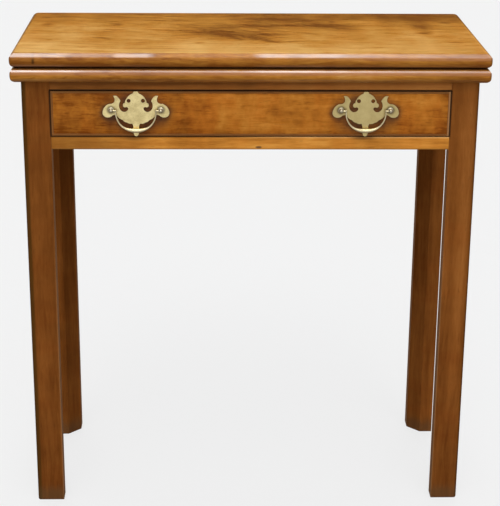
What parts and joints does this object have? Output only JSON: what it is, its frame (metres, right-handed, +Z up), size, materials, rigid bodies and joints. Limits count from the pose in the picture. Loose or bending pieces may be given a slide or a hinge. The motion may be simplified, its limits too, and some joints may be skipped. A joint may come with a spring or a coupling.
{
  "type": "tea table",
  "caption": "Rectangular fold-over tea table in mahogany with square inner-chamfered legs, a swinging gate leg, and a frieze drawer with pierced brass bail handles.",
  "frame": {"origin": "on the floor, under the middle of the closed leaves", "axes": "+X to the right seen from the drawer side, +Y from the drawer side to the back, +Z up"},
  "size_m": [0.692, 0.3188, 0.72],
  "materials": {
    "top_wood": "waxed and polished mahogany, golden brown",
    "leg_wood": "polished dark red-brown mahogany",
    "rail_wood": "polished mahogany",
    "drawer_wood": "polished red-brown mahogany",
    "bead_wood": "polished mahogany",
    "plain_oak": "dry unpolished oak",
    "plain_pine": "dry unpolished pine",
    "brass": "old lacquered brass, softly polished",
    "hinge_brass": "dull aged brass",
    "iron": "dark oxidised iron"
  },
  "bodies": {
    "frame": {"front_leg_left": "leg_wood", "front_leg_right": "leg_wood", "back_leg_fixed": "leg_wood", "top_front_rail": "rail_wood", "bottom_front_rail": "rail_wood", "side_rail_left": "rail_wood", "side_rail_right": "rail_wood", "inner_back_rail": "plain_oak", "fly_rail_fixed": "plain_oak", "fly_rail_screws": "iron", "knuckle_pin": "iron", "drawer_runner_left": "plain_oak", "drawer_runner_right": "plain_oak", "runner_nails": "iron", "drawer_guide_left": "plain_oak", "drawer_guide_right": "plain_oak", "kicker_left": "plain_pine", "kicker_right": "plain_pine", "drawer_stop_left": "plain_oak", "drawer_stop_right": "plain_oak", "glue_block_left": "plain_pine", "glue_block_middle": "plain_pine", "glue_block_right": "plain_pine", "fixed_leaf": "top_wood", "leaf_screws": "iron", "lower_hinge_plate_left": "hinge_brass", "lower_hinge_plate_right": "hinge_brass", "lower_hinge_screws": "hinge_brass", "hinge_pin_left": "hinge_brass", "hinge_pin_right": "hinge_brass"},
    "top_leaf": {"folding_leaf": "top_wood", "upper_hinge_plate_left": "hinge_brass", "upper_hinge_plate_right": "hinge_brass", "upper_hinge_screws": "hinge_brass"},
    "gate": {"swing_leg": "leg_wood", "fly_rail_gate": "plain_oak"},
    "drawer": {"drawer_front": "drawer_wood", "cock_bead_top": "bead_wood", "cock_bead_bottom": "bead_wood", "cock_bead_left": "bead_wood", "cock_bead_right": "bead_wood", "drawer_side_left": "plain_oak", "drawer_side_right": "plain_oak", "drawer_back": "plain_oak", "drawer_bottom": "plain_pine", "drawer_bottom_nails": "iron", "backplate_left": "brass", "backplate_right": "brass", "handle_post_left_outer": "brass", "handle_post_left_inner": "brass", "handle_post_right_outer": "brass", "handle_post_right_inner": "brass", "handle_nuts": "brass"},
    "left_bail": {"bail_left": "brass"},
    "right_bail": {"bail_right": "brass"}
  },
  "joints": [
    {"name": "leaf_fold", "type": "hinge", "parent": "frame", "child": "top_leaf", "pos_m": [0, 0.158, 0.69835], "axis": [-1, 0, 0], "range_deg": [0, 180]},
    {"name": "gate_swing", "type": "hinge", "parent": "frame", "child": "gate", "pos_m": [-0.0065, 0.123, 0.6269], "axis": [0, 0, 1], "range_deg": [0, 90]},
    {"name": "drawer_slide", "type": "slide", "parent": "frame", "child": "drawer", "axis": [0, -1, 0], "range_m": [0, 0.165]},
    {"name": "left_bail_swing", "type": "hinge", "parent": "drawer", "child": "left_bail", "pos_m": [-0.1668, -0.149, 0.6347], "axis": [-1, 0, 0], "range_deg": [-2, 165]},
    {"name": "right_bail_swing", "type": "hinge", "parent": "drawer", "child": "right_bail", "pos_m": [0.1668, -0.149, 0.6347], "axis": [-1, 0, 0], "range_deg": [-2, 165]}
  ]
}
